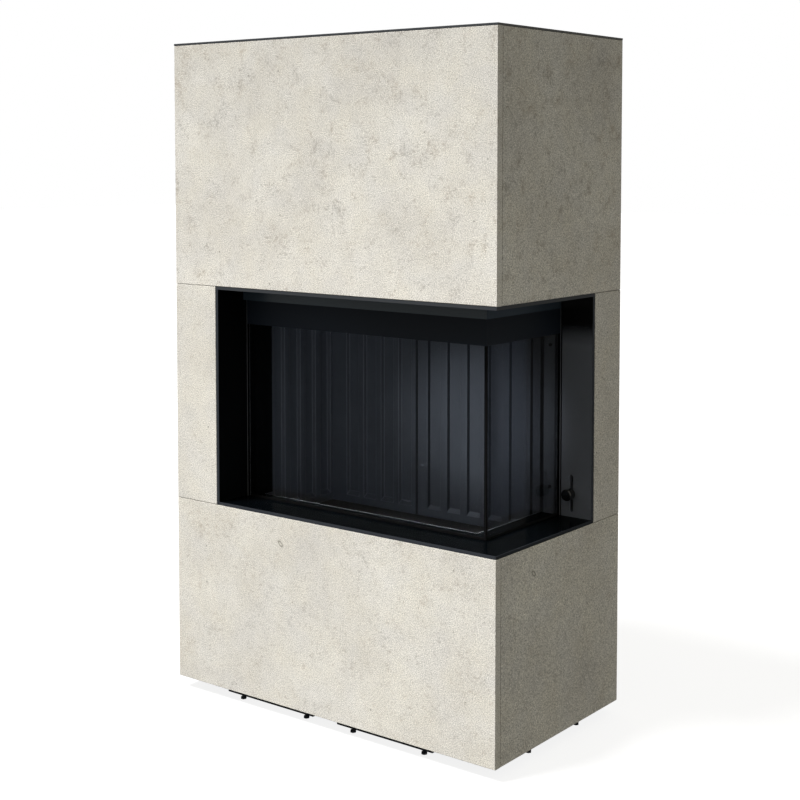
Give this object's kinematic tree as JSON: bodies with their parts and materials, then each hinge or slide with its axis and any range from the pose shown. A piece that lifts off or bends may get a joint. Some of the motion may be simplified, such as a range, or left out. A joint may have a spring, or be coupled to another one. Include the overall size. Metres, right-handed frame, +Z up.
{
  "type": "fireplace insert",
  "caption": "Slab-clad corner fireplace with a black recess, a corner glass lift door on counterweights, a fluted firebox, a sliding air knob and levelling feet.",
  "frame": {"origin": "on the floor under the middle of the footprint", "axes": "+Z up, the wide glazed front faces -Y, the glazed side faces +X"},
  "size_m": [1, 0.545, 1.68],
  "materials": {
    "slab_stone": "matte",
    "black_steel": "satin",
    "carcass_steel": "matte",
    "fastener_steel": "satin",
    "cable_steel": "satin",
    "pane_glass": "polished",
    "black_seal": "matte",
    "shoe_brass": "satin",
    "pulley_steel": "satin",
    "weight_iron": "matte",
    "lining_refractory": "matte",
    "knob_metal": "satin"
  },
  "bodies": {
    "carcass": {"slab_upper_front": "slab_stone", "slab_upper_right": "slab_stone", "slab_upper_left": "slab_stone", "slab_middle_front": "slab_stone", "slab_middle_right": "slab_stone", "slab_middle_left": "slab_stone", "slab_lower_front": "slab_stone", "slab_lower_right": "slab_stone", "slab_lower_left": "slab_stone", "top_plate": "black_steel", "reveal_shelf": "black_steel", "reveal_ceiling": "black_steel", "reveal_left_wall": "black_steel", "reveal_rear_wall": "black_steel", "lintel_mask": "black_steel", "left_guide": "black_steel", "rear_guide": "black_steel", "left_jamb": "black_steel", "jamb_strip": "black_steel", "hearth_frame": "black_steel", "firebox_header": "black_steel", "foot_rails": "black_steel", "back_panel": "carcass_steel", "base_hoop": "carcass_steel", "sill_hoop": "carcass_steel", "lintel_hoop": "carcass_steel", "top_hoop": "carcass_steel", "carcass_posts": "carcass_steel", "pulley_brackets": "carcass_steel", "firebox_body": "carcass_steel", "smoke_dome": "carcass_steel", "flue_collar": "carcass_steel", "insert_legs": "carcass_steel", "air_box": "carcass_steel", "air_duct": "carcass_steel", "shutter_guides": "carcass_steel", "levelling_feet": "fastener_steel", "lock_nuts": "fastener_steel", "jamb_screws": "fastener_steel", "pulley_axles": "fastener_steel", "left_cable": "cable_steel", "rear_cable": "cable_steel", "hearth_plate": "lining_refractory", "left_lining": "lining_refractory", "back_lining_left": "lining_refractory", "back_lining_right": "lining_refractory", "baffle_plate": "lining_refractory"},
    "door": {"door_top_rail": "black_steel", "front_glass": "pane_glass", "side_glass": "pane_glass", "corner_seal": "black_seal", "left_shoe": "shoe_brass", "rear_shoe": "shoe_brass"},
    "left_weight": {"left_counterweight": "weight_iron"},
    "rear_weight": {"rear_counterweight": "weight_iron"},
    "left_wheel": {"left_pulley": "pulley_steel"},
    "rear_wheel": {"rear_pulley": "pulley_steel"},
    "air_control": {"air_knob": "knob_metal", "air_stem": "fastener_steel", "air_shutter": "carcass_steel"}
  },
  "joints": [
    {"name": "door_lift", "type": "slide", "parent": "carcass", "child": "door", "axis": [0, 0, 1], "range_m": [0, 0.46], "deforming": ["left_cable", "rear_cable"]},
    {"name": "left_weight_drop", "type": "slide", "parent": "carcass", "child": "left_weight", "axis": [0, 0, 1], "range_m": [-0.46, 0]},
    {"name": "rear_weight_drop", "type": "slide", "parent": "carcass", "child": "rear_weight", "axis": [0, 0, 1], "range_m": [-0.46, 0]},
    {"name": "left_pulley_turn", "type": "hinge", "parent": "carcass", "child": "left_wheel", "pos_m": [-0.381, -0.1705, 1.61], "axis": [0, -1, 0], "range_deg": [0, 735]},
    {"name": "rear_pulley_turn", "type": "hinge", "parent": "carcass", "child": "rear_wheel", "pos_m": [0.403, 0.182, 1.61], "axis": [-1, 0, 0], "range_deg": [0, 735]},
    {"name": "air_slide", "type": "slide", "parent": "carcass", "child": "air_control", "axis": [0, 0, 1], "range_m": [-0.038, 0.038]}
  ],
  "couplings": [
    {"joint": "left_weight_drop", "follows": "door_lift", "ratio": -1},
    {"joint": "rear_weight_drop", "follows": "door_lift", "ratio": -1},
    {"joint": "left_pulley_turn", "follows": "door_lift", "rad_per_m": 27.778},
    {"joint": "rear_pulley_turn", "follows": "door_lift", "rad_per_m": 27.778}
  ]
}
